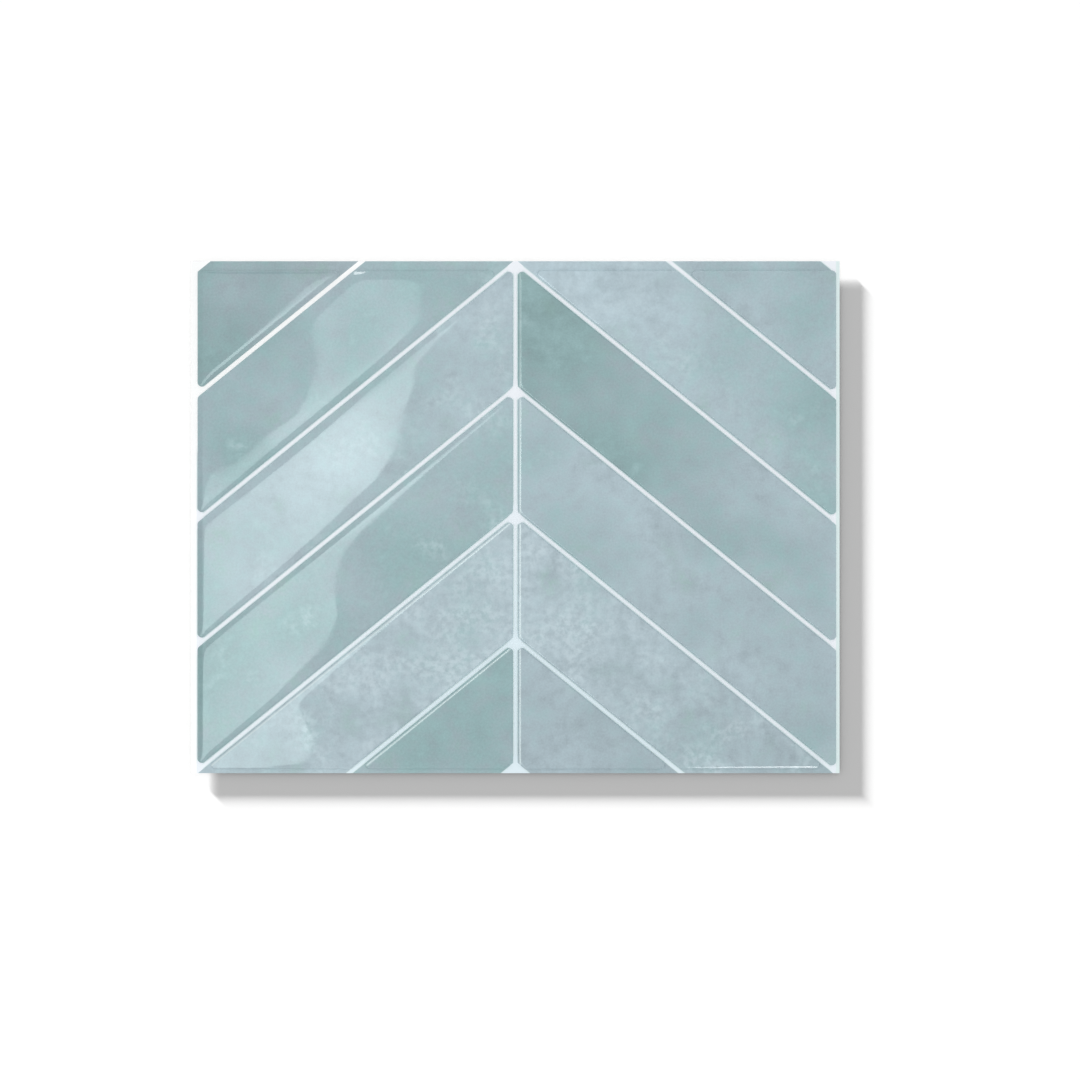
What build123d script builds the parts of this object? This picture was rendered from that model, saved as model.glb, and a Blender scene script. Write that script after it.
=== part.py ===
from build123d import *
from math import ceil, cos, floor, radians, tan
import os

# Self-adhesive chevron wall tile: a printed film that carries domed gel pads.
# The sheet lies face up with its chevrons pointing to +Y.
# The origin is in the middle of the adhesive back.
# All lengths are in millimetres and all angles in degrees.

# Film
sheet_width = 290.0
sheet_height = 229.0
film_thickness = 0.5

# Bare film left around the field of gel pads
left_lap = 2.8  # the next sheet along covers this edge
right_trim = 1.5
top_lap = 4.1  # the next sheet up covers this edge
bottom_trim = 1.8

# Chevron layout
chevron_angle = 39.0  # fall of each strip from the middle of the sheet to its side
row_pitch = 56.1  # from one chevron joint to the next, measured up the sheet
first_apex = 60.2  # apex of the lowest whole chevron joint, above the sheet's lower edge
chevron_joint = 1.9  # gap between two strips, measured square to it
spine_joint = 1.9  # gap down the middle of the sheet

# Gel pads
gel_height = 1.3
gel_corner_radius = 2.0  # in plan
gel_edge_slope = 20.0  # lean of the pad's edge from the vertical
gel_edge_radius = 1.5  # blends the sloping edge into the top

# Edges of the field, with the sheet's middle as zero
field_bottom = bottom_trim - sheet_height / 2
field_top = sheet_height / 2 - top_lap
field_reach = {"left": sheet_width / 2 - left_lap, "right": sheet_width / 2 - right_trim}
side_sign = {"left": -1, "right": 1}

# The corner arcs are drawn around a smaller outline, so the field shrinks by as much
core_bottom = field_bottom + gel_corner_radius
core_top = field_top - gel_corner_radius
least_core_height = 2 * gel_corner_radius  # a strip cut shorter than this is left off

fall = tan(radians(chevron_angle))
strip_inset = (chevron_joint / 2 + gel_corner_radius) / cos(radians(chevron_angle))
spine_inset = spine_joint / 2 + gel_corner_radius

# The rounding stops short of the pad's foot and of its corner centres
edge_slope_length = gel_height / cos(radians(gel_edge_slope))
corner_left_at_top = gel_corner_radius - gel_height * tan(radians(gel_edge_slope))
edge_turn = tan(radians(90 - gel_edge_slope) / 2)
edge_radius = min(gel_edge_radius, 0.9 * min(edge_slope_length, corner_left_at_top) / edge_turn)


# Joint 0 is the lowest whole one, and row 0 is the strip just under it
def joint_apex(number):
    return first_apex - sheet_height / 2 + number * row_pitch


def rows_in_field(reach):
    top_at_spine = joint_apex(0) - strip_inset - spine_inset * fall
    bottom_at_side = joint_apex(-1) + strip_inset - (reach - gel_corner_radius) * fall
    lowest = ceil((core_bottom + least_core_height - top_at_spine) / row_pitch)
    highest = floor((core_top - least_core_height - bottom_at_side) / row_pitch)
    return range(lowest, highest + 1)


def strip_corners(row, reach, sign):
    inner = spine_inset
    outer = reach - gel_corner_radius
    bottom = joint_apex(row - 1) + strip_inset
    top = joint_apex(row) - strip_inset
    corners = [
        (sign * inner, bottom - inner * fall),
        (sign * outer, bottom - outer * fall),
        (sign * outer, top - outer * fall),
        (sign * inner, top - inner * fall),
    ]
    # Counter-clockwise in both halves, so that every pad rises from the film
    return corners[::sign]


os.makedirs("parts", exist_ok=True)

# Backing film
with BuildPart() as backing_film:
    with BuildSketch():
        Rectangle(sheet_width, sheet_height)
    extrude(amount=film_thickness)

backing_film.part.label = "backing_film"
export_step(backing_film.part, "parts/backing_film.step")

# Gel pads, numbered from the bottom of the sheet to the top in each half
for side, reach in field_reach.items():
    for number, row in enumerate(rows_in_field(reach), start=1):
        with BuildPart() as gel_pad:
            with BuildSketch(Plane.XY.offset(film_thickness)):
                with BuildLine():
                    Polyline(strip_corners(row, reach, side_sign[side]), close=True)
                make_face()
                with Locations((0, (core_bottom + core_top) / 2)):
                    Rectangle(sheet_width, core_top - core_bottom, mode=Mode.INTERSECT)
                offset(amount=gel_corner_radius, kind=Kind.ARC)
            extrude(amount=gel_height, taper=gel_edge_slope)
            fillet(gel_pad.edges().group_by(Axis.Z)[-1], edge_radius)

        gel_pad.part.label = f"gel_pad_{side}_{number}"
        export_step(gel_pad.part, f"parts/{gel_pad.part.label}.step")
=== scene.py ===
import math

import bpy
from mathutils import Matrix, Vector, noise
from mathutils.geometry import delaunay_2d_cdt


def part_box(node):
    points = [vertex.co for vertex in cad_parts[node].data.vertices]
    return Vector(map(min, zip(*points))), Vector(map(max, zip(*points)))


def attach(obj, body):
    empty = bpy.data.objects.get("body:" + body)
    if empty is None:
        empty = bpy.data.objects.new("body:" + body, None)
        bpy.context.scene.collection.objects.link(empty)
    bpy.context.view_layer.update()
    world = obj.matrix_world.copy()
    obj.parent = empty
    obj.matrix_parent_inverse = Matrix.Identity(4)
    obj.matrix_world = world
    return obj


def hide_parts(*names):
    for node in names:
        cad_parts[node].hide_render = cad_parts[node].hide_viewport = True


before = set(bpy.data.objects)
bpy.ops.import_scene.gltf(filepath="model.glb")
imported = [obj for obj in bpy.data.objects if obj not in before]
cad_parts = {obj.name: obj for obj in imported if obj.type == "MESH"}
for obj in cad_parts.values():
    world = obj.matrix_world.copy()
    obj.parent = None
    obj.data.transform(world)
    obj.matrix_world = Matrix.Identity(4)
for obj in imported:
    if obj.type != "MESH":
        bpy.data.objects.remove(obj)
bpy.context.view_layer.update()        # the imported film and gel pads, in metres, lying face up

mm = 0.001
scene = bpy.context.scene
padNames = sorted(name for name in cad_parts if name.startswith("gel_pad"))
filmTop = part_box("backing_film")[1].z
print("frame loaded:", len(padNames), "gel pads on one film")


# a pad's outline on the film, counter-clockwise, taken from the edges of its flat underside
def footOutline(nodeName):
    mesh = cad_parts[nodeName].data
    facingDown = -0.99
    gridPerMetre = 1e7       # points that share a cell of this grid are one point
    spots = {}
    edges = set()
    for face in mesh.polygons:
        if face.normal.z > facingDown:
            continue
        keys = []
        for index in face.vertices:
            co = mesh.vertices[index].co
            key = (round(co.x * gridPerMetre), round(co.y * gridPerMetre))
            spots[key] = Vector((co.x, co.y))
            keys.append(key)
        for a, b in zip(keys, keys[1:] + keys[:1]):
            if (b, a) in edges:
                edges.remove((b, a))
            else:
                edges.add((a, b))
    following = dict(edges)
    key = min(following)
    loop = []
    while len(loop) < len(following):
        loop.append(spots[key])
        key = following[key]
    return loop[::-1]


def runs(outline):
    return list(zip(outline, outline[1:] + outline[:1]))


# the chevron layout, read off two neighbouring strips
def longSides(nodeName):
    sides = sorted(runs(footOutline(nodeName)), key=lambda ends: (ends[1] - ends[0]).length)[-2:]
    fall = abs((sides[0][1].y - sides[0][0].y) / (sides[0][1].x - sides[0][0].x))
    return fall, sorted(a.y + abs(a.x) * fall for a, b in sides)


jointAbove = 3           # the joint just above pad 3 is the one measured
fall, (padLow, padHigh) = longSides(f"gel_pad_left_{jointAbove}")
nextLow = longSides(f"gel_pad_left_{jointAbove + 1}")[1][0]
chevron = {
    "fall": fall,
    "apex": (padHigh + nextLow) / 2,
    "pitch": nextLow - padLow,
    "halfJoint": (nextLow - padHigh) / 2 * math.cos(math.atan(fall)),
    "halfSpine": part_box("gel_pad_right_3")[0].x,
    "leftEnd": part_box("gel_pad_left_3")[0].x,
    "rightEnd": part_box("gel_pad_right_3")[1].x,
    "top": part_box("gel_pad_left_6")[1].y,
    "bottom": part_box("gel_pad_left_1")[0].y,
    "rows": len(padNames) // 2,
}
print("chevron: pitch %.1f mm, fall %.1f degrees" % (chevron["pitch"] / mm, math.degrees(math.atan(fall))))


# gel pads
padShape = {
    "rollAngle": math.radians(80),  # how steeply the edge leaves the film
    "leanHeight": 0.6 * mm,         # what the gel still climbs inside its rolled edge
    "leanReach": 1.2 * mm,          # how soon it climbs, and the pads that differ
    "ownReach": {"left_6": 1.6 * mm, "left_2": 0.65 * mm, "left_1": 0.65 * mm, "right": 0.65 * mm},
    "rippleHeight": 0.05 * mm,      # slow waves in the cured gel
    "rippleSize": 30 * mm,
    "rippleReach": 5 * mm,          # they fade towards the edge
    "rippleSeed": 7.3,              # from one pad to the next
    "dimpleHeight": 0.006 * mm,     # and a faint unevenness on top of them
    "dimpleSize": 8 * mm,
    "dimpleSeed": 50,
    "rollRings": 10,
    "landings": (0.3 * mm, 0.7 * mm, 1.1 * mm),  # more rings, inside the rolled edge
    "rows": (2.3 * mm, 2.8 * mm, 3.4 * mm, 4.2 * mm),  # then rows of points beside the straight edges
    "arcStep": math.radians(7),
    "step": 1.7 * mm,
    "gridGap": 0.6,                 # between the last row and the grid, in steps
    "shortestSide": 1.2 * mm,       # anything shorter on the outline is a chord of a round corner
}
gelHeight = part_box("gel_pad_left_3")[1].z - filmTop
rollHeight = gelHeight - padShape["leanHeight"] - padShape["rippleHeight"] - padShape["dimpleHeight"]
rollRadius = rollHeight / (1 - math.cos(padShape["rollAngle"]))
rollWidth = rollRadius * math.sin(padShape["rollAngle"])


def cornerRadius(outline):
    for a, b, c in zip(outline, outline[1:], outline[2:]):
        if max((b - a).length, (c - b).length) < padShape["shortestSide"]:
            area = abs((b - a).cross(c - a)) / 2
            return (b - a).length * (c - b).length * (c - a).length / (4 * area)


def straightSides(outline):
    sides = []
    for a, b in runs(outline):
        if (b - a).length > padShape["shortestSide"]:
            along = (b - a).normalized()
            sides.append((a, along, Vector((-along.y, along.x))))
    return sides


# points around the pad as (point on the inner outline, direction out of the pad)
def aroundPad(sides, radius):
    corners = []
    for (a, alongA, inA), (b, alongB, inB) in zip(sides[-1:] + sides[:-1], sides):
        p = a + inA * radius
        q = b + inB * radius
        reach = (q - p).cross(alongB) / alongA.cross(alongB)
        corners.append(p + alongA * reach)
    around = []
    for i, corner in enumerate(corners):
        outFrom = -sides[i - 1][2]
        outTo = -sides[i][2]
        turn = math.acos(max(-1, min(1, outFrom.dot(outTo))))
        start = math.atan2(outFrom.y, outFrom.x)
        count = max(2, math.ceil(turn / padShape["arcStep"]))
        for k in range(count + 1):
            angle = start + turn * k / count
            around.append((corner, Vector((math.cos(angle), math.sin(angle)))))
        run = corners[(i + 1) % len(corners)] - corner
        count = math.ceil(run.length / padShape["step"])
        for k in range(1, count):
            around.append((corner + run * k / count, outTo))
    return around


def depthAt(spot, sides):
    return min((spot - corner).dot(inwards) for corner, along, inwards in sides)


# height and slope of the rolled edge
def rolledEdge(depth):
    inside = max(0.0, rollWidth - depth)
    rise = math.sqrt(rollRadius ** 2 - inside ** 2)
    return rise - rollRadius * math.cos(padShape["rollAngle"]), inside / rise


def ownReach(nodeName):
    for part, reach in padShape["ownReach"].items():
        if part in nodeName:
            return reach
    return padShape["leanReach"]


# what the gel does inside its rolled edge: the last of the climb, and slow waves
def gelCrown(x, y, sides, seed, reach):
    rise = 1.0
    calm = 1.0
    for corner, along, inwards in sides:
        depth = max(0.0, (x - corner.x) * inwards.x + (y - corner.y) * inwards.y)
        rise *= 1 - math.exp(-depth / reach)
        calm *= 1 - math.exp(-depth / padShape["rippleReach"])
    size = padShape["rippleSize"]
    wave = padShape["rippleHeight"] * noise.noise(Vector((x / size, y / size, seed)))
    size = padShape["dimpleSize"]
    dimple = noise.noise(Vector((x / size, y / size, seed + padShape["dimpleSeed"])))
    wave += padShape["dimpleHeight"] * dimple
    return padShape["leanHeight"] * rise + calm * wave


def gelPoint(x, y, depth, out, pour):
    height, slope = rolledEdge(depth)
    share = height / rollHeight
    crown = gelCrown(x, y, *pour)
    tiny = 0.05 * mm
    crownX = (gelCrown(x + tiny, y, *pour) - gelCrown(x - tiny, y, *pour)) / (2 * tiny)
    crownY = (gelCrown(x, y + tiny, *pour) - gelCrown(x, y - tiny, *pour)) / (2 * tiny)
    steep = slope * (1 + crown / rollHeight)
    normal = Vector((out.x * steep - crownX * share, out.y * steep - crownY * share, 1.0)).normalized()
    return (x, y, filmTop + height + crown * share), normal


# rows of points beside the edges, then a triangle grid over the wide middle
def middleSpots(nodeName, sides, around, radius):
    slack = 0.01 * mm
    spots = []
    for depth in padShape["rows"]:
        for base, out in around:
            spot = base + out * (radius - depth)
            if depthAt(spot, sides) > depth - slack:
                spots.append(spot)
    low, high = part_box(nodeName)
    step = padShape["step"]
    rowStep = step * math.sqrt(3) / 2
    gridDepth = padShape["rows"][-1] + padShape["gridGap"] * step
    for j in range(math.ceil((high.y - low.y) / rowStep)):
        for i in range(math.ceil((high.x - low.x) / step)):
            spot = Vector((low.x + (i + 0.5 * (j % 2)) * step, low.y + j * rowStep))
            if depthAt(spot, sides) > gridDepth:
                spots.append(spot)
    return spots


def buildPad(nodeName, seed):
    outline = footOutline(nodeName)
    radius = cornerRadius(outline)
    sides = straightSides(outline)
    pour = (sides, seed, ownReach(nodeName))
    around = aroundPad(sides, radius)
    count = len(around)
    rings = padShape["rollRings"]
    turns = [1 - k / rings for k in range(rings + 1)]
    depths = [rollWidth - rollRadius * math.sin(padShape["rollAngle"] * turn) for turn in turns]
    depths += [rollWidth + landing for landing in padShape["landings"]]
    points = []
    normals = []
    for depth in depths:
        for base, out in around:
            spot = base + out * (radius - depth)
            point, normal = gelPoint(spot.x, spot.y, depth, out, pour)
            points.append(point)
            normals.append(normal)
    faces = [tuple(reversed(range(count)))]  # the flat underside
    for ring in range(len(depths) - 1):
        for k in range(count):
            a = ring * count + k
            b = ring * count + (k + 1) % count
            faces.append((a, b, b + count, a + count))
    # the middle, filled with triangles inside the last ring
    first = (len(depths) - 1) * count
    flat = [Vector(point[:2]) / mm for point in points[first:]]
    for spot in middleSpots(nodeName, sides, around, radius):
        point, normal = gelPoint(spot.x, spot.y, rollWidth, Vector((0, 0)), pour)
        points.append(point)
        normals.append(normal)
        flat.append(spot / mm)
    insideOnly = 1
    nearest = 1e-5
    filled = delaunay_2d_cdt(flat, [], [list(range(count))], insideOnly, nearest)
    origin = [ids[0] for ids in filled[3]]
    for face in filled[2]:
        faces.append(tuple(first + origin[k] for k in face))
    mesh = bpy.data.meshes.new("domed_" + nodeName)
    mesh.from_pydata(points, [], faces)
    mesh.shade_smooth()
    loopNormals = []
    for face in mesh.polygons:
        for k in face.vertices:
            loopNormals.append(Vector((0, 0, -1)) if face.index == 0 else normals[k])
    mesh.normals_split_custom_set(loopNormals)
    pad = bpy.data.objects.new("domed_" + nodeName, mesh)
    scene.collection.objects.link(pad)
    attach(pad, "root")
    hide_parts(nodeName)
    return pad


pads = [buildPad(name, padShape["rippleSeed"] * k) for k, name in enumerate(padNames)]
print("gel pads built:", sum(len(pad.data.polygons) for pad in pads), "faces")


# node helpers
def wire(tree, kind, inputs, **settings):
    node = tree.nodes.new(kind)
    for key, value in settings.items():
        setattr(node, key, value)
    for key, value in inputs.items():
        if isinstance(value, bpy.types.NodeSocket):
            tree.links.new(value, node.inputs[key])
        else:
            node.inputs[key].default_value = value
    return node


def calc(tree, operation, a, b=0.0, c=0.0):
    return wire(tree, "ShaderNodeMath", {0: a, 1: b, 2: c}, operation=operation).outputs[0]


def vectorCalc(tree, operation, a, b):
    return wire(tree, "ShaderNodeVectorMath", {0: a, 1: b}, operation=operation).outputs


# adds a share of a noise, taken about its middle, to a value
def sway(tree, value, cloudy, amount):
    return calc(tree, "MULTIPLY_ADD", calc(tree, "SUBTRACT", cloudy, 0.5), amount, value)


def spread(tree, value, low, high, toLow=0.0, toHigh=1.0):
    inputs = {"Value": value, "From Min": low, "From Max": high, "To Min": toLow, "To Max": toHigh}
    return wire(tree, "ShaderNodeMapRange", inputs, interpolation_type="SMOOTHSTEP").outputs["Result"]


def cloud(tree, place, size, detail=4.0, roughness=0.55):
    inputs = {"Vector": place, "Scale": 1 / size, "Detail": detail, "Roughness": roughness}
    return wire(tree, "ShaderNodeTexNoise", inputs).outputs["Fac"]


def blendColours(tree, factor, a, b, mode="MIX"):
    return wire(tree, "ShaderNodeMix", {0: factor, 6: a, 7: b}, data_type="RGBA", blend_type=mode).outputs[2]


def blendValues(tree, factor, a, b):
    return wire(tree, "ShaderNodeMix", {0: factor, 2: a, 3: b}).outputs[0]


# a screen colour as the shader wants it
def ink(code):
    parts = [int(code[k:k + 2], 16) / 255 for k in (1, 3, 5)]
    return tuple(p / 12.92 if p <= 0.04045 else ((p + 0.055) / 1.055) ** 2.4 for p in parts) + (1.0,)


# the watery stone print, shared by the gel pads and the bare strips of film; sizes in millimetres
tilePrint = {
    "slateBlue": ink("#a5b7bf"),
    "sage": ink("#8aa9ab"),
    "moss": ink("#86ab9f"),
    "mist": ink("#cfe0e7"),
    "clouds": (40.0, 2.0, 0.5),    # size, detail and roughness of each layer of marks
    "mottle": (14.0, 5.0, 0.56),
    "blotch": (5.0, 3.0, 0.6),
    "thinned": (20.0, 3.0, 0.5),
    "flecks": (2.8, 5.0, 0.62),
    "grain": (0.9, 3.0, 0.6),
    "rollLength": 4000.0,
    "gatherPull": 1.2,             # how much each of them moves the sage
    "cloudPull": 1.9,
    "mottlePull": 1.0,
    "blotchPull": 1.1,
    "mossThin": (0.46, 0.28),
    "mossBlotch": (0.35, 0.65),
    "mossShare": 0.5,
    "mottleShade": 0.48,           # how much each of them lightens and darkens
    "blotchShade": 0.42,
    "grainShade": 0.30,
    "wornAtSpine": 1.15,           # the glaze is worn less towards the sides
    "wornFall": 0.5,
    "wornPull": 2.2,
    "wornReach": (0.3, 1.3),
    "fleckReach": (0.34, 0.66),
    "fleckShare": (0.12, 0.60),
}
# pads from the bottom up: share of sage, where it gathers (0 spine, 1 side), flecks,
# lightness at spine and side, and how far along the printed roll the pad was cut
padInks = {
    "left": [
        {"sage": 0.50, "gather": 0.45, "flecks": 0.05, "spine": 0.51, "side": 0.51, "cut": 0.59},
        {"sage": 0.15, "gather": 0.50, "flecks": 0.80, "spine": 0.56, "side": 0.51, "cut": 0.43},
        {"sage": 0.50, "gather": 0.55, "flecks": 0.40, "spine": 0.57, "side": 0.49, "cut": 0.73},
        {"sage": 0.30, "gather": 0.50, "flecks": 0.50, "spine": 0.58, "side": 0.53, "cut": 0.83},
        {"sage": 0.50, "gather": 0.60, "flecks": 0.30, "spine": 0.55, "side": 0.535, "cut": 0.22},
        {"sage": 0.28, "gather": 0.95, "flecks": 0.10, "spine": 0.36, "side": 0.44, "cut": 0.83},
    ],
    "right": [
        {"sage": 0.15, "gather": 0.50, "flecks": 0.05, "spine": 0.48, "side": 0.45, "cut": 0.97},
        {"sage": 0.15, "gather": 0.50, "flecks": 0.75, "spine": 0.56, "side": 0.40, "cut": 0.74},
        {"sage": 0.25, "gather": 0.45, "flecks": 0.20, "spine": 0.59, "side": 0.48, "cut": 0.36},
        {"sage": 0.55, "gather": 0.10, "flecks": 0.10, "spine": 0.44, "side": 0.54, "cut": 0.27},
        {"sage": 0.20, "gather": 0.90, "flecks": 0.50, "spine": 0.67, "side": 0.54, "cut": 0.98},
        {"sage": 0.30, "gather": 0.50, "flecks": 0.15, "spine": 0.54, "side": 0.53, "cut": 0.24},
    ],
}


# one value for each pad, picked by the pad's number and its half of the sheet
def perPad(tree, factor, isRight, key):
    halves = []
    for half in ("left", "right"):
        node = wire(tree, "ShaderNodeValToRGB", {"Fac": factor}, label=key + " " + half)
        ramp = node.color_ramp
        ramp.interpolation = "CONSTANT"
        ramp.elements.remove(ramp.elements[1])
        for k, inks in enumerate(padInks[half]):
            element = ramp.elements[0] if k == 0 else ramp.elements.new(k / chevron["rows"])
            element.color = (inks[key],) * 3 + (1.0,)
        halves.append(node.outputs["Color"])
    return blendColours(tree, isRight, *halves)


def stoneColour(tree, x, y, side, pick):
    look = tilePrint
    # every pad is cut from another part of the print
    layer = calc(tree, "MULTIPLY", pick["cut"], look["rollLength"])
    place = wire(tree, "ShaderNodeCombineXYZ", {0: x, 1: y, 2: layer}).outputs[0]
    clouds = cloud(tree, place, *look["clouds"])
    mottle = cloud(tree, place, *look["mottle"])
    blotch = cloud(tree, place, *look["blotch"])
    thinned = cloud(tree, place, *look["thinned"])
    flecks = cloud(tree, place, *look["flecks"])
    grain = cloud(tree, place, *look["grain"])

    # sage washed into slate blue
    outwards = calc(tree, "DIVIDE", side, chevron["rightEnd"] / mm)
    lean = calc(tree, "MULTIPLY_ADD", outwards, 2.0, -1.0)
    lean = calc(tree, "MULTIPLY", calc(tree, "SUBTRACT", pick["gather"], 0.5), lean)
    sageness = calc(tree, "MULTIPLY_ADD", lean, look["gatherPull"], pick["sage"])
    sageness = sway(tree, sageness, clouds, look["cloudPull"])
    sageness = sway(tree, sageness, mottle, look["mottlePull"])
    sageness = sway(tree, sageness, blotch, look["blotchPull"])
    colour = blendColours(tree, spread(tree, sageness, 0.0, 1.0), look["slateBlue"], look["sage"])
    # greener where two washes meet
    moss = spread(tree, thinned, *look["mossThin"])
    moss = calc(tree, "MULTIPLY", moss, spread(tree, blotch, *look["mossBlotch"]))
    colour = blendColours(tree, calc(tree, "MULTIPLY", moss, look["mossShare"]), colour, look["moss"])

    # lighter and darker water marks
    shade = sway(tree, 1.0, blendValues(tree, outwards, pick["spine"], pick["side"]), 1.0)
    shade = sway(tree, shade, mottle, look["mottleShade"])
    shade = sway(tree, shade, blotch, look["blotchShade"])
    shade = sway(tree, shade, grain, look["grainShade"])
    colour = blendColours(tree, 1.0, colour, shade, "MULTIPLY")

    # pale flecks where the glaze is worn thin
    worn = calc(tree, "MULTIPLY_ADD", outwards, -look["wornFall"], look["wornAtSpine"])
    worn = calc(tree, "MULTIPLY", pick["flecks"], worn)
    worn = spread(tree, sway(tree, worn, thinned, look["wornPull"]), *look["wornReach"])
    flecks = spread(tree, flecks, *look["fleckReach"], *look["fleckShare"])
    return blendColours(tree, calc(tree, "MULTIPLY", worn, flecks), colour, look["mist"])


# how far outside the strips a spot lies, in millimetres; negative on a strip
def stripGaps(tree, x, side, row, padNumber):
    halfJoint = chevron["halfJoint"] / mm
    across = chevron["pitch"] / mm * math.cos(math.atan(chevron["fall"]))
    pastJoint = calc(tree, "SUBTRACT", row, calc(tree, "ROUND", row))
    under = calc(tree, "MULTIPLY_ADD", pastJoint, -across, -halfJoint)
    jointGap = calc(tree, "MULTIPLY_ADD", calc(tree, "ABSOLUTE", pastJoint), -across, halfJoint)
    endGap = calc(tree, "SUBTRACT", chevron["halfSpine"] / mm, side)
    endGap = calc(tree, "MAXIMUM", endGap, calc(tree, "SUBTRACT", x, chevron["rightEnd"] / mm))
    endGap = calc(tree, "MAXIMUM", endGap, calc(tree, "SUBTRACT", chevron["leftEnd"] / mm, x))
    gap = calc(tree, "MAXIMUM", jointGap, endGap)
    corner = calc(tree, "MINIMUM", jointGap, endGap)
    # the slivers above the last row and below the first are plain film
    overRows = calc(tree, "GREATER_THAN", padNumber, chevron["rows"] + 0.5)
    underRows = calc(tree, "LESS_THAN", padNumber, 0.5)
    outside = 1.0
    inside = -2.0
    sliver = calc(tree, "MAXIMUM", overRows, underRows)
    sliver = calc(tree, "MULTIPLY_ADD", sliver, outside - inside, inside)
    return calc(tree, "MAXIMUM", gap, sliver), corner, under


def makePrintGroup():
    tree = bpy.data.node_groups.new("stonePrint", "ShaderNodeTree")
    where = tree.nodes.new("ShaderNodeTexCoord").outputs["Object"]
    inMm = wire(tree, "ShaderNodeVectorMath", {0: where, "Scale": 1 / mm}, operation="SCALE").outputs[0]
    axes = wire(tree, "ShaderNodeSeparateXYZ", {0: inMm})
    x, y = axes.outputs[0], axes.outputs[1]
    side = calc(tree, "ABSOLUTE", x)
    # which pad this is, counted as the pads are named
    climb = calc(tree, "MULTIPLY_ADD", side, chevron["fall"], y)
    climb = calc(tree, "SUBTRACT", climb, chevron["apex"] / mm)
    row = calc(tree, "DIVIDE", climb, chevron["pitch"] / mm)
    padNumber = calc(tree, "ADD", calc(tree, "CEIL", row), jointAbove)
    isRight = calc(tree, "GREATER_THAN", x, 0.0)
    factor = calc(tree, "DIVIDE", calc(tree, "SUBTRACT", padNumber, 0.5), chevron["rows"])
    pick = {key: perPad(tree, factor, isRight, key) for key in padInks["left"][0]}
    gap, corner, under = stripGaps(tree, x, side, row, padNumber)
    results = {
        "Colour": ("NodeSocketColor", stoneColour(tree, x, y, side, pick)),
        "Gap": ("NodeSocketFloat", gap),
        "Corner": ("NodeSocketFloat", corner),
        "Under": ("NodeSocketFloat", under),
        "Row": ("NodeSocketFloat", padNumber),
        "Place": ("NodeSocketVector", inMm),
    }
    for name, (kind, value) in results.items():
        tree.interface.new_socket(name, in_out="OUTPUT", socket_type=kind)
    output = tree.nodes.new("NodeGroupOutput")
    for name, (kind, value) in results.items():
        tree.links.new(value, output.inputs[name])
    return tree


printGroup = makePrintGroup()


def newMaterial(name):
    material = bpy.data.materials.new(name)
    material.use_nodes = True
    tree = material.node_tree
    tree.nodes.clear()
    return material, tree


def printedMaterial(name):
    material, tree = newMaterial(name)
    group = wire(tree, "ShaderNodeGroup", {}, node_tree=printGroup)
    axes = wire(tree, "ShaderNodeSeparateXYZ", {0: group.outputs["Place"]})
    return material, tree, group.outputs, axes.outputs


def closeMaterial(tree, shader):
    output = tree.nodes.new("ShaderNodeOutputMaterial")
    tree.links.new(shader.outputs[0], output.inputs["Surface"])


# 1 between the upper and the lower edge of the pads, 0 beyond them
def betweenEdges(tree, y, inset):
    blend = 0.3
    top = chevron["top"] / mm - inset
    bottom = chevron["bottom"] / mm + inset
    below = spread(tree, y, top - blend, top, 1.0, 0.0)
    return calc(tree, "MULTIPLY", below, spread(tree, y, bottom, bottom + blend))


# clear gel over the print; sizes in millimetres
gelLook = {
    "roughness": (0.020, 0.065),
    "patches": (25.0, 2.0),        # size and detail of the smoother patches
    "patchReach": (0.3, 0.7),
    "ior": 1.5,
    "gloss": 0.50,                 # and the pads that differ
    "ownGloss": {"left_2": 0.53, "left_3": 0.53, "left_4": 0.53, "left_5": 0.42},
    "paleFilmAndPaintedLight": ink("#e0eeee"),   # the print stops short of the foot, and white film shows through the gel; also painted light that lifts the shade of the steep rolled edge
    "rimHeight": (0.05, 0.60),
    "rimShare": 0.45,
    "spineShare": 1.0,             # more of it down the middle of the sheet
    "spineReach": (1.0, 1.6),
    "cutShare": 0.70,              # less of it along the upper and lower edges
    "cutInset": 1.5,
    "highlightDepth": (0.6, 1.0),       # and a painted highlight, a thin pale line inside some edges
    "highlightEnd": (1.3, 1.8),
    "highlightShare": 0.42,
    "highlightFade": (40.0, 80.0),      # fainter near the top of the sheet
    "highlightLeast": 0.4,
    "highlightRows": 2,                 # in so many rows at the left, and beside the spine at the right
    "paintedEdgeShade": (0.79, 0.82, 0.82, 1.0),
    "edgeShadeReach": (1.8, 3.0),       # painted shade along the left end of the pads, where the rolled edge looks dark
    "edgeShadeFade": (0.0, 60.0),       # and less so higher up
    "edgeShadeLeast": 0.25,
}


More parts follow.
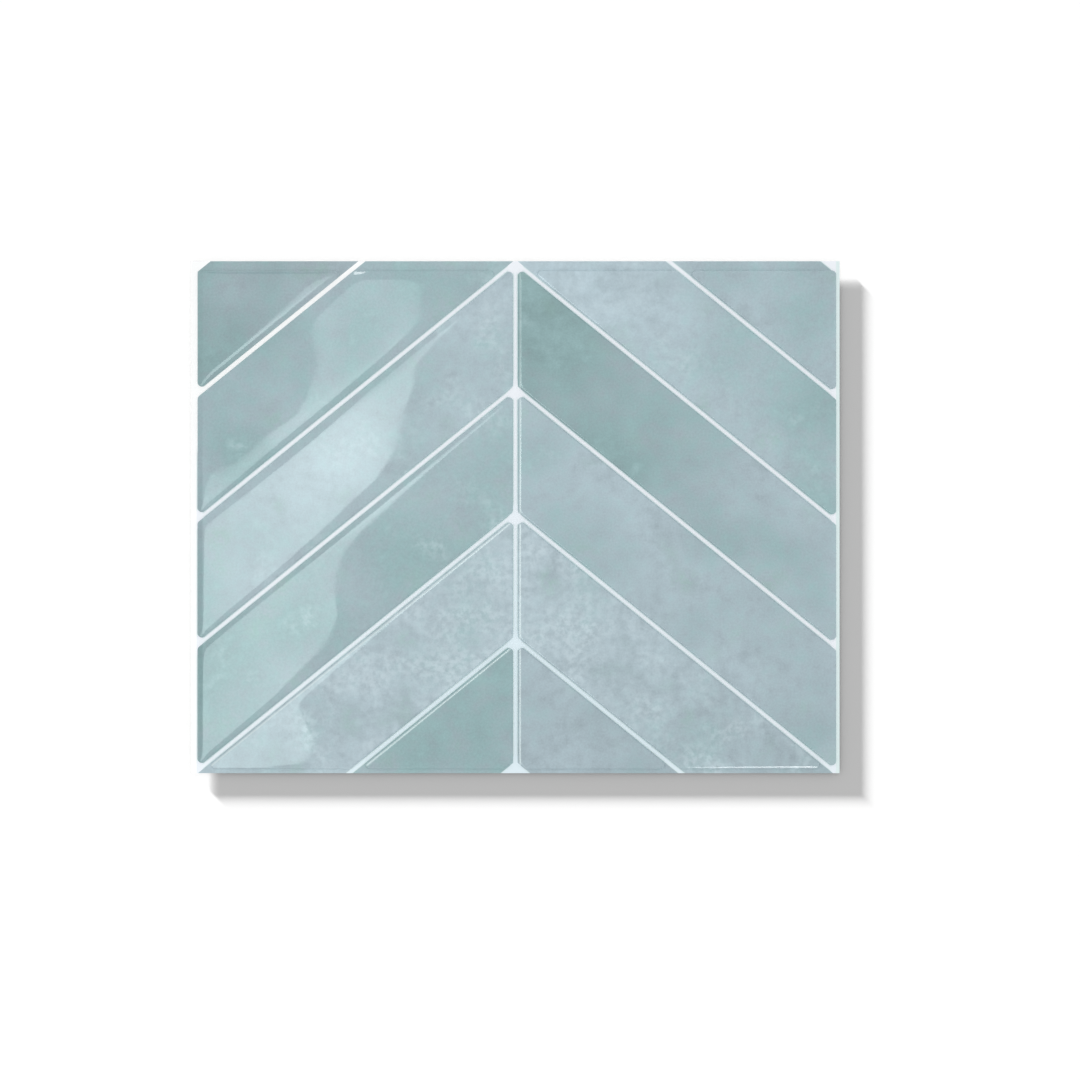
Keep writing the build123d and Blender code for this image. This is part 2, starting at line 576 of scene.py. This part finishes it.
def makeGel(gloss):
    material, tree, group, axes = printedMaterial("clearGelOverPrint_%d" % round(100 * gloss))
    look = gelLook
    x, y, z = axes[0], axes[1], axes[2]
    spine = chevron["halfSpine"] / mm

    # painted shade beside the left lap
    fromLeft = calc(tree, "SUBTRACT", x, chevron["leftEnd"] / mm)
    edgeShade = spread(tree, fromLeft, *look["edgeShadeReach"], 1.0, 0.0)
    edgeShade = calc(tree, "MULTIPLY", edgeShade, spread(tree, y, *look["edgeShadeFade"], 1.0, look["edgeShadeLeast"]))
    printed = blendColours(tree, edgeShade, group["Colour"], look["paintedEdgeShade"], "MULTIPLY")

    # painted highlight: the thin pale line inside some edges
    isRight = calc(tree, "GREATER_THAN", x, 0.0)
    highlightMask = calc(tree, "MAXIMUM", isRight, calc(tree, "LESS_THAN", group["Row"], look["highlightRows"] + 0.5))
    highlightMask = calc(tree, "MULTIPLY", highlightMask, spread(tree, y, *look["highlightFade"], 1.0, look["highlightLeast"]))
    depth = blendValues(tree, isRight, group["Under"], calc(tree, "SUBTRACT", x, spine))
    paintedHighlight = calc(tree, "MULTIPLY", spread(tree, depth, *look["highlightDepth"]), highlightMask)
    paintedHighlight = calc(tree, "MULTIPLY", paintedHighlight, spread(tree, depth, *look["highlightEnd"], look["highlightShare"], 0.0))
    printed = blendColours(tree, paintedHighlight, printed, look["paleFilmAndPaintedLight"])

    # the pale rim at the foot: white film through the gel, and painted light against the shade of the steep
    # rolled edge
    footFilmAndLight = spread(tree, calc(tree, "SUBTRACT", z, filmTop / mm), *look["rimHeight"], 1.0, 0.0)
    nearSpine, pastSpine = [spine + reach for reach in look["spineReach"]]
    fromSpine = calc(tree, "ABSOLUTE", x)
    share = spread(tree, fromSpine, nearSpine, pastSpine, look["spineShare"], look["rimShare"])
    footFilmAndLight = calc(tree, "MULTIPLY", footFilmAndLight, share)
    uncut = betweenEdges(tree, y, look["cutInset"])
    share = calc(tree, "MULTIPLY_ADD", uncut, 1 - look["cutShare"], look["cutShare"])
    footFilmAndLight = calc(tree, "MULTIPLY", footFilmAndLight, share)
    footFilmAndLight = calc(tree, "MULTIPLY", footFilmAndLight, calc(tree, "SUBTRACT", 1.0, edgeShade))

    patches = cloud(tree, group["Place"], *look["patches"])
    inputs = {
        "Base Color": blendColours(tree, footFilmAndLight, printed, look["paleFilmAndPaintedLight"]),
        "Roughness": spread(tree, patches, *look["patchReach"], *look["roughness"]),
        "IOR": look["ior"],
        "Specular IOR Level": gloss,
    }
    closeMaterial(tree, wire(tree, "ShaderNodeBsdfPrincipled", inputs))
    return material


# white film, printed where it shows above and below the pads; sizes in millimetres
filmLook = {
    "white": ink("#fbfcfc"),       # the bare lap at the left
    "lapEdge": (0.6, 0.1),         # where it ends, left of the pads
    "lilac": ink("#edf1f7"),       # the joints
    "aqua": ink("#ddecf3"),        # and the lower joints
    "aquaReach": (40.0, -55.0),    # where they meet the spine
    "aquaDrift": 80.0,
    "drift": (45.0, 2.0),          # size and detail
    "mint": ink("#dcecec"),        # along the right edge
    "mintBlend": 0.2,
    "shade": ink("#d0e1e2"),       # painted shade on the film next to the gel
    "paintedShadeReach": (0.05, 0.60),
    "cornerReach": (-3.0, -1.8),   # the painted shade stays off where the round corners leave the film white
    "cleanReach": (78.0, 86.0),    # the joint near the upper left corner is as white as the lap
    "printEnd": (-0.15, 0.05),
    "printInset": 3.6,             # the print shows from here to the upper and lower edge
    "wholeRows": (3, 4),
    "tack": ink("#dcdcd4"),        # the adhesive on its back
    "coatSize": (60.0, 2.0),       # length and width of its streaks
    "coatDetail": 4.0,
    "grain": (0.3, 2.0),           # size and detail
    "grainHeight": 0.003 * mm,     # in metres, like the soft edge
    "grainBump": 0.4,
    "grainReach": (0.2, 0.8),
    "roughness": (0.34, 0.48),
    "softEdge": 0.1 * mm,
    "edgeSteps": 2,
}


def whiteOfFilm(tree, group, x, y):
    look = filmLook
    trim = chevron["rightEnd"] / mm
    inJoint = spread(tree, x, trim - look["mintBlend"], trim, 1.0, 0.0)
    climb = calc(tree, "MULTIPLY_ADD", calc(tree, "ABSOLUTE", x), chevron["fall"], y)
    drift = cloud(tree, group["Place"], *look["drift"])
    aqua = spread(tree, sway(tree, climb, drift, look["aquaDrift"]), *look["aquaReach"])
    white = blendColours(tree, aqua, look["lilac"], look["aqua"])
    white = blendColours(tree, inJoint, look["mint"], white)
    # painted shade on the film in the joints, right beside the gel
    fromGel = calc(tree, "ABSOLUTE", group["Gap"])
    shade = calc(tree, "MULTIPLY", inJoint, spread(tree, fromGel, *look["paintedShadeReach"], 1.0, 0.0))
    shade = calc(tree, "MULTIPLY", shade, spread(tree, group["Corner"], *look["cornerReach"], 1.0, 0.0))
    white = blendColours(tree, shade, white, look["shade"])
    upperLeft = (chevron["leftEnd"] / mm, chevron["top"] / mm, 0.0)
    fromCorner = vectorCalc(tree, "DISTANCE", group["Place"], upperLeft)["Value"]
    clean = spread(tree, fromCorner, *look["cleanReach"], 1.0, 0.0)
    lapStart, lapEnd = [chevron["leftEnd"] / mm - edge for edge in look["lapEdge"]]
    clean = calc(tree, "MAXIMUM", clean, spread(tree, x, lapStart, lapEnd, 1.0, 0.0))
    return blendColours(tree, clean, white, look["white"])


def makeFilm():
    material, tree, group, axes = printedMaterial("printedFilm")
    look = filmLook
    x, y = axes[0], axes[1]
    # the print runs on past the gel, but not round the corners of the rows that aren't cut
    printed = spread(tree, group["Gap"], *look["printEnd"], 1.0, 0.0)
    beyond = calc(tree, "SUBTRACT", 1.0, betweenEdges(tree, y, look["printInset"]))
    printed = calc(tree, "MULTIPLY", printed, beyond)
    low, high = look["wholeRows"]
    slack = 0.1
    whole = calc(tree, "COMPARE", group["Row"], (low + high) / 2, (high - low) / 2 + slack)
    printed = calc(tree, "MULTIPLY", printed, calc(tree, "SUBTRACT", 1.0, whole))
    face = blendColours(tree, printed, whiteOfFilm(tree, group, x, y), group["Colour"])

    # the adhesive is coated on along the sheet
    along = [1 / size for size in look["coatSize"]] + [1.0]
    streaks = cloud(tree, vectorCalc(tree, "MULTIPLY", group["Place"], along)[0], 1.0, look["coatDetail"])
    tack = blendColours(tree, streaks, look["tack"], look["white"])
    normal = tree.nodes.new("ShaderNodeNewGeometry").outputs["Normal"]
    up = wire(tree, "ShaderNodeSeparateXYZ", {0: normal}).outputs[2]
    facingDown = -0.5
    isBack = calc(tree, "LESS_THAN", up, facingDown)

    grain = cloud(tree, group["Place"], *look["grain"])
    bump = {"Strength": look["grainBump"], "Distance": look["grainHeight"], "Height": grain}
    inputs = {
        "Base Color": blendColours(tree, isBack, face, tack),
        "Roughness": spread(tree, grain, *look["grainReach"], *look["roughness"]),
        "Normal": wire(tree, "ShaderNodeBump", bump).outputs["Normal"],
    }
    closeMaterial(tree, wire(tree, "ShaderNodeBsdfPrincipled", inputs))
    return material


def dress(piece, material):
    piece.data.materials.clear()
    piece.data.materials.append(material)


gels = {}
for pad in pads:
    gloss = gelLook["ownGloss"].get(pad.name.removeprefix("domed_gel_pad_"), gelLook["gloss"])
    if gloss not in gels:
        gels[gloss] = makeGel(gloss)
    dress(pad, gels[gloss])
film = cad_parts["backing_film"]
dress(film, makeFilm())
cutEdge = film.modifiers.new("cutEdge", "BEVEL")
cutEdge.width = filmLook["softEdge"]
cutEdge.segments = filmLook["edgeSteps"]
print("gel and film dressed")


# camera, square over the sheet
eye = {"over": Vector((11.0 * mm, -10.2 * mm)), "frameWidth": 483.1 * mm, "lens": 100.0, "sensor": 36.0}
eyeHeight = filmTop + eye["frameWidth"] * eye["lens"] / eye["sensor"]
cameraData = bpy.data.cameras.new("overheadCamera")
cameraData.lens = eye["lens"]
cameraData.sensor_width = eye["sensor"]
cameraData.sensor_fit = "HORIZONTAL"
camera = bpy.data.objects.new("overheadCamera", cameraData)
camera.location = (eye["over"].x, eye["over"].y, eyeHeight)
scene.collection.objects.link(camera)
scene.camera = camera


# from a spot on the sheet to the spot overhead that the camera sees mirrored there
def overhead(spot, height):
    across = Vector(spot) * mm
    across += (across - eye["over"]) * height / eyeHeight
    return Vector((across.x, across.y, height))


# the same all over a lamp, unless it has a hot spot and a dim end
def lampStrength(tree, look):
    if "hotSpot" not in look:
        return look["strength"]
    hot, low, high = [overhead(look[key], look["height"]) for key in ("hotSpot", "dimFrom", "dimTo")]
    up = high - low
    where = tree.nodes.new("ShaderNodeTexCoord").outputs["Object"]
    away = vectorCalc(tree, "DISTANCE", where, hot)["Value"]
    along = vectorCalc(tree, "DOT_PRODUCT", where, up)["Value"]
    strength = spread(tree, away, 0.0, look["hotReach"], look["hotStrength"], look["strength"])
    dim = spread(tree, along, low.dot(up), high.dot(up), 1.0, look["dimShare"])
    return calc(tree, "MULTIPLY", strength, dim)


# a flat lamp that only shows as a reflection
def emitter(name, corners, look, lit=None):
    mesh = bpy.data.meshes.new(name)
    mesh.from_pydata(corners, [], [tuple(range(len(corners)))])
    card = bpy.data.objects.new(name, mesh)
    scene.collection.objects.link(card)
    material, tree = newMaterial(name)
    inputs = {"Color": look["colour"], "Strength": lampStrength(tree, look)}
    closeMaterial(tree, wire(tree, "ShaderNodeEmission", inputs))
    mesh.materials.append(material)
    card.visible_camera = False
    card.visible_diffuse = False
    card.visible_shadow = False
    if lit:
        card.light_linking.receiver_collection = bpy.data.collections.new(name + "Only")
        for pad in lit:
            card.light_linking.receiver_collection.objects.link(pad)


# large soft box; its outline is where flat gel would mirror it, in millimetres on the sheet
softBox = {
    "mirrored": [
        (-50, 118), (-42, 106), (-42, 88), (-46, 60), (-52, 35), (-60, 16), (-70, 2), (-78, -14), (-82, -31),
        (-80, -46), (-90, -68), (-96, -84), (-91, -98), (-97, -118), (-109, -180), (-130, -600), (-260, -600),
        (-198, -180), (-186, -80), (-176, -30), (-163, 10), (-126, 23), (-97, 46), (-90, 70), (-89, 88),
        (-82, 104), (-72, 118),
    ],
    "height": 0.55,                # in metres, like the reach of the hot spot
    "colour": (0.87, 1.0, 1.0, 1.0),
    "strength": 4.1,
    "hotSpot": (-85, 38),
    "hotReach": 0.075,
    "hotStrength": 5.9,
    "dimFrom": (-66, 52),
    "dimTo": (-80, 70),
    "dimShare": 0.75,              # what is left of it at the upper end
}
emitter("softBox", [overhead(spot, softBox["height"]) for spot in softBox["mirrored"]], softBox)

# small lamps for the glints along one edge and in one corner, each shining on one pad; in metres
glints = {
    "height": 0.8,
    "colour": (1.0, 1.0, 1.0, 1.0),
    "strength": 10.0,
    "lowerEdge": [
        (0.115, -0.60), (0.16, -0.44), (0.20, -0.36), (0.24, -0.33),
        (0.27, -0.60), (0.27, -1.05), (0.20, -0.95),
    ],
    "lowerEdgePads": ["right_2"],
    "upperCorner": [(-0.135, 0.40), (-0.135, 1.0), (-0.45, 1.0), (-0.22, 0.40)],
    "upperCornerPads": ["left_5"],
}
for name in ("lowerEdge", "upperCorner"):
    lit = [bpy.data.objects["domed_gel_pad_" + pad] for pad in glints[name + "Pads"]]
    emitter(name, [(x, y, glints["height"]) for x, y in glints[name]], glints, lit=lit)

# tall panels round the sheet, which the gel mirrors in low views; in metres
standLights = {
    "count": 6,
    "turn": math.radians(15),
    "away": 1.2,
    "width": 0.45,
    "low": 0.30,
    "high": 0.85,
    "colour": (1.0, 1.0, 1.0, 1.0),
    "strength": 2.5,
}
for k in range(standLights["count"]):
    angle = standLights["turn"] + k * 2 * math.pi / standLights["count"]
    out = Vector((math.cos(angle), math.sin(angle), 0.0)) * standLights["away"]
    aside = Vector((-math.sin(angle), math.cos(angle), 0.0)) * standLights["width"] / 2
    low = Vector((0, 0, standLights["low"]))
    high = Vector((0, 0, standLights["high"]))
    corners = [out - aside + low, out + aside + low, out + aside + high, out - aside + high]
    emitter("standLight_%d" % (k + 1), corners, standLights)

# pale floor
floorLook = {"size": 6.0, "drop": 1.5 * mm, "colour": (0.49, 0.49, 0.49, 1.0)}
half = floorLook["size"] / 2
floorCorners = [(-half, -half, 0), (half, -half, 0), (half, half, 0), (-half, half, 0)]
floorMesh = bpy.data.meshes.new("paleFloor")
floorMesh.from_pydata(floorCorners, [], [(0, 1, 2, 3)])
floor = bpy.data.objects.new("paleFloor", floorMesh)
floor.location.z = -floorLook["drop"]
scene.collection.objects.link(floor)
floorMaterial, floorTree = newMaterial("paleFloor")
closeMaterial(floorTree, wire(floorTree, "ShaderNodeBsdfDiffuse", {"Color": floorLook["colour"]}))
floorMesh.materials.append(floorMaterial)

# a low lamp that lights only the floor and throws the sheet's shadow over it
shadowLamp = {"reach": Vector((12.4 * mm, -12.5 * mm)), "softness": math.radians(3.6), "onFloor": 1.09}
ray = Vector((shadowLamp["reach"].x, shadowLamp["reach"].y, -filmTop - floorLook["drop"]))
lampData = bpy.data.lights.new("shadowLamp", "SUN")
lampData.angle = shadowLamp["softness"]
lampData.energy = shadowLamp["onFloor"] * math.pi / -ray.normalized().z
lamp = bpy.data.objects.new("shadowLamp", lampData)
lamp.rotation_euler = ray.to_track_quat("-Z", "Y").to_euler()
scene.collection.objects.link(lamp)
floorOnly = bpy.data.collections.new("floorOnly")
floorOnly.objects.link(floor)
sheetOnly = bpy.data.collections.new("sheetOnly")
sheetOnly.objects.link(film)
lamp.light_linking.receiver_collection = floorOnly
lamp.light_linking.blocker_collection = sheetOnly

# even white light from all round
world = bpy.data.worlds.new("whiteStudio")
scene.world = world
world.use_nodes = True
worldTree = world.node_tree
worldTree.nodes.clear()
backdrop = wire(worldTree, "ShaderNodeBackground", {"Color": (1, 1, 1, 1), "Strength": 1.0})
worldOut = worldTree.nodes.new("ShaderNodeOutputWorld")
worldTree.links.new(backdrop.outputs[0], worldOut.inputs["Surface"])
print("camera, lights and floor in place")

scene.view_settings.view_transform = "Standard"
